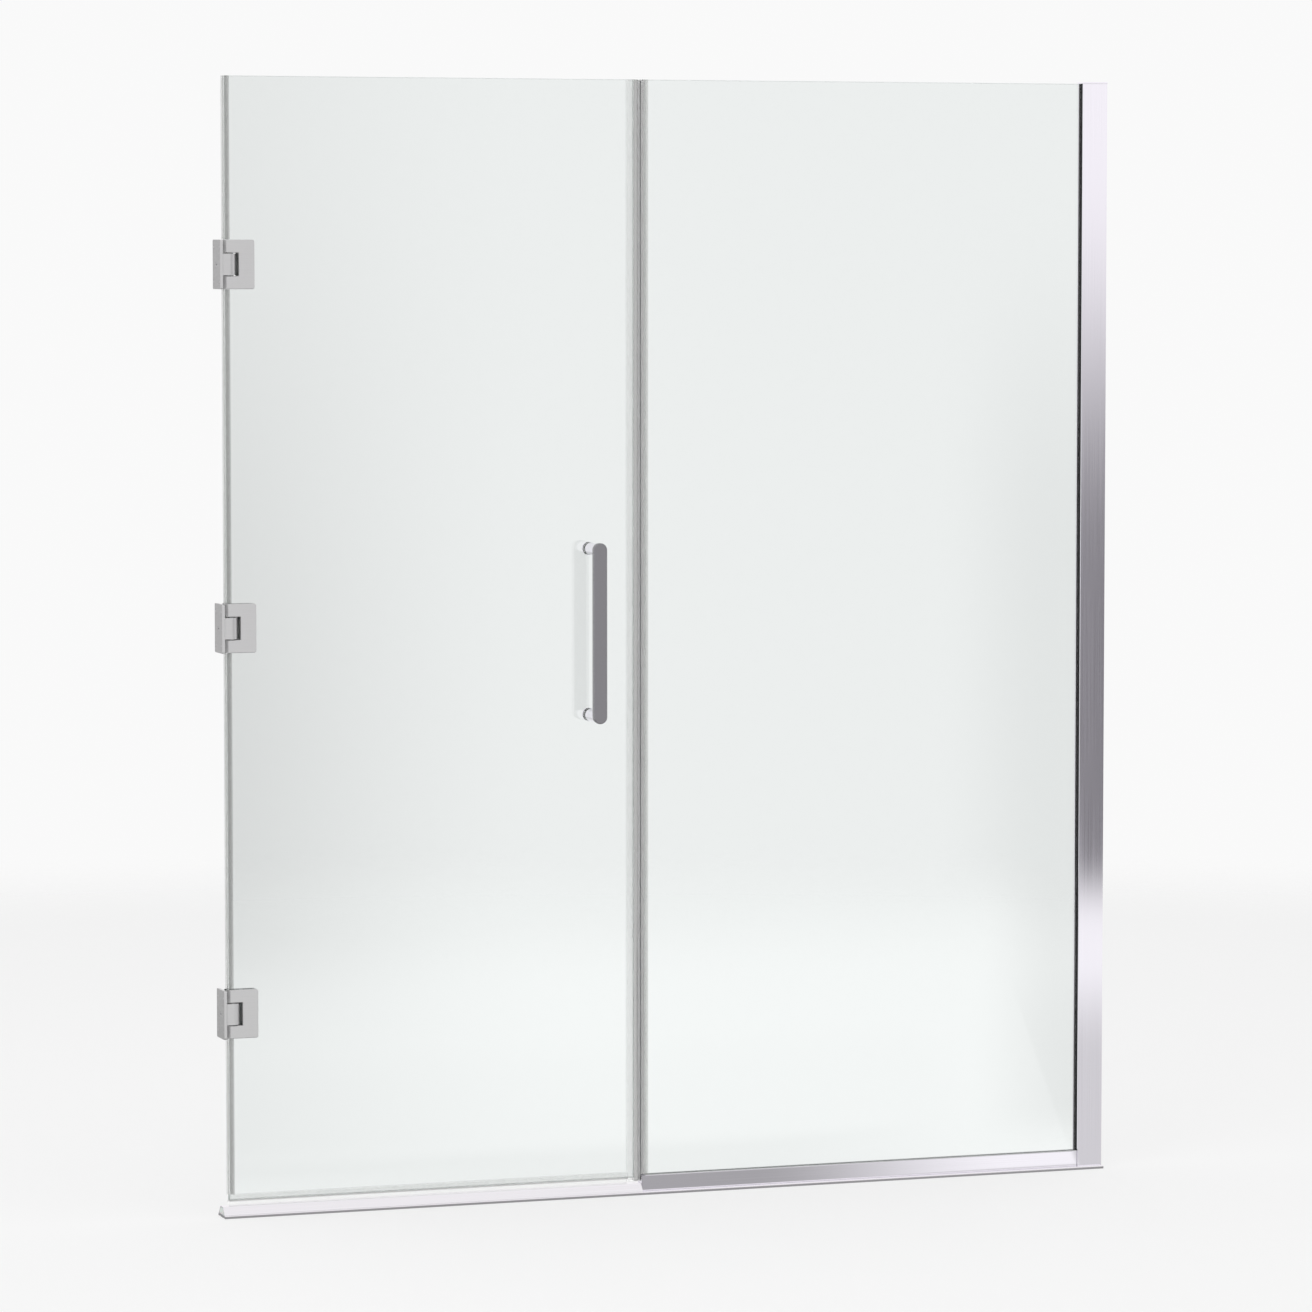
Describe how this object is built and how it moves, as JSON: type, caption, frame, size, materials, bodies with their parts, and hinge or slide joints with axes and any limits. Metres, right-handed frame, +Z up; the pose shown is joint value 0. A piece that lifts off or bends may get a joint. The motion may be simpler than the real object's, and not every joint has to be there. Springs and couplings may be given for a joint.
{
  "type": "hinged shower door",
  "caption": "Frameless glass shower door on wall hinges with an upright pull bar, closing on magnetic seals against an in-line fixed glass panel in a channel and wall jamb.",
  "frame": {"origin": "on the curb, in the middle of the opening and in the middle plane of the glass", "axes": "+X across the opening from the hinge wall to the jamb wall, +Y into the shower, +Z up"},
  "size_m": [1.524, 0.08, 1.819],
  "materials": {
    "glass": "clear, polished",
    "hinge_metal": "satin",
    "satin_steel": "satin",
    "chrome": "bright",
    "bright_aluminium": "bright",
    "steel": "machined",
    "clear_seal": "clear",
    "magnet": "matt",
    "grey_gasket": "matt",
    "black_gasket": "matt",
    "nylon": "matt"
  },
  "bodies": {
    "frame": {"sill_track": "bright_aluminium", "door_threshold": "bright_aluminium", "panel_channel": "chrome", "panel_channel_end_cap": "chrome", "panel_setting_blocks": "nylon", "panel_channel_gasket_front": "grey_gasket", "panel_channel_gasket_rear": "grey_gasket", "wall_jamb_channel": "bright_aluminium", "wall_jamb_cover": "chrome", "wall_jamb_gasket_front": "black_gasket", "wall_jamb_gasket_rear": "black_gasket", "wall_jamb_set_screws": "steel", "wall_jamb_top_cap": "chrome", "fixed_glass_panel": "glass", "panel_strike_seal": "clear_seal", "panel_magnet_strip": "magnet", "top_hinge_wall_plate": "hinge_metal", "top_hinge_bushes": "nylon", "top_hinge_detent_spring": "steel", "top_hinge_spring_plug": "steel", "middle_hinge_wall_plate": "hinge_metal", "middle_hinge_bushes": "nylon", "middle_hinge_detent_spring": "steel", "middle_hinge_spring_plug": "steel", "bottom_hinge_wall_plate": "hinge_metal", "bottom_hinge_bushes": "nylon", "bottom_hinge_detent_spring": "steel", "bottom_hinge_spring_plug": "steel"},
    "door": {"door_glass": "glass", "door_strike_seal": "clear_seal", "door_magnet_strip": "magnet", "door_sweep": "clear_seal", "hinge_side_seals": "clear_seal", "handle_bar": "satin_steel", "handle_posts": "chrome", "handle_washers": "clear_seal", "handle_hole_bushes": "nylon", "handle_cap_screws": "chrome", "top_hinge_front_clamp": "hinge_metal", "top_hinge_rear_clamp": "hinge_metal", "top_hinge_front_gasket": "grey_gasket", "top_hinge_rear_gasket": "grey_gasket", "top_hinge_pivot_pin": "steel", "top_hinge_clamp_screws": "steel", "middle_hinge_front_clamp": "hinge_metal", "middle_hinge_rear_clamp": "hinge_metal", "middle_hinge_front_gasket": "grey_gasket", "middle_hinge_rear_gasket": "grey_gasket", "middle_hinge_pivot_pin": "steel", "middle_hinge_clamp_screws": "steel", "bottom_hinge_front_clamp": "hinge_metal", "bottom_hinge_rear_clamp": "hinge_metal", "bottom_hinge_front_gasket": "grey_gasket", "bottom_hinge_rear_gasket": "grey_gasket", "bottom_hinge_pivot_pin": "steel", "bottom_hinge_clamp_screws": "steel"},
    "top_detent": {"top_hinge_detent_plunger": "steel"},
    "middle_detent": {"middle_hinge_detent_plunger": "steel"},
    "bottom_detent": {"bottom_hinge_detent_plunger": "steel"}
  },
  "joints": [
    {"name": "door_swing", "type": "hinge", "parent": "frame", "child": "door", "pos_m": [-0.7435, 0, 0], "axis": [0, 0, -1], "range_deg": [-90, 90]},
    {"name": "top_detent_slide", "type": "slide", "parent": "frame", "child": "top_detent", "axis": [1, 0, 0], "range_m": [0, 0.0006], "stiffness_N_per_m": 2000, "springref_m": 0.0006},
    {"name": "middle_detent_slide", "type": "slide", "parent": "frame", "child": "middle_detent", "axis": [1, 0, 0], "range_m": [0, 0.0006], "stiffness_N_per_m": 2000, "springref_m": 0.0006},
    {"name": "bottom_detent_slide", "type": "slide", "parent": "frame", "child": "bottom_detent", "axis": [1, 0, 0], "range_m": [0, 0.0006], "stiffness_N_per_m": 2000, "springref_m": 0.0006}
  ]
}
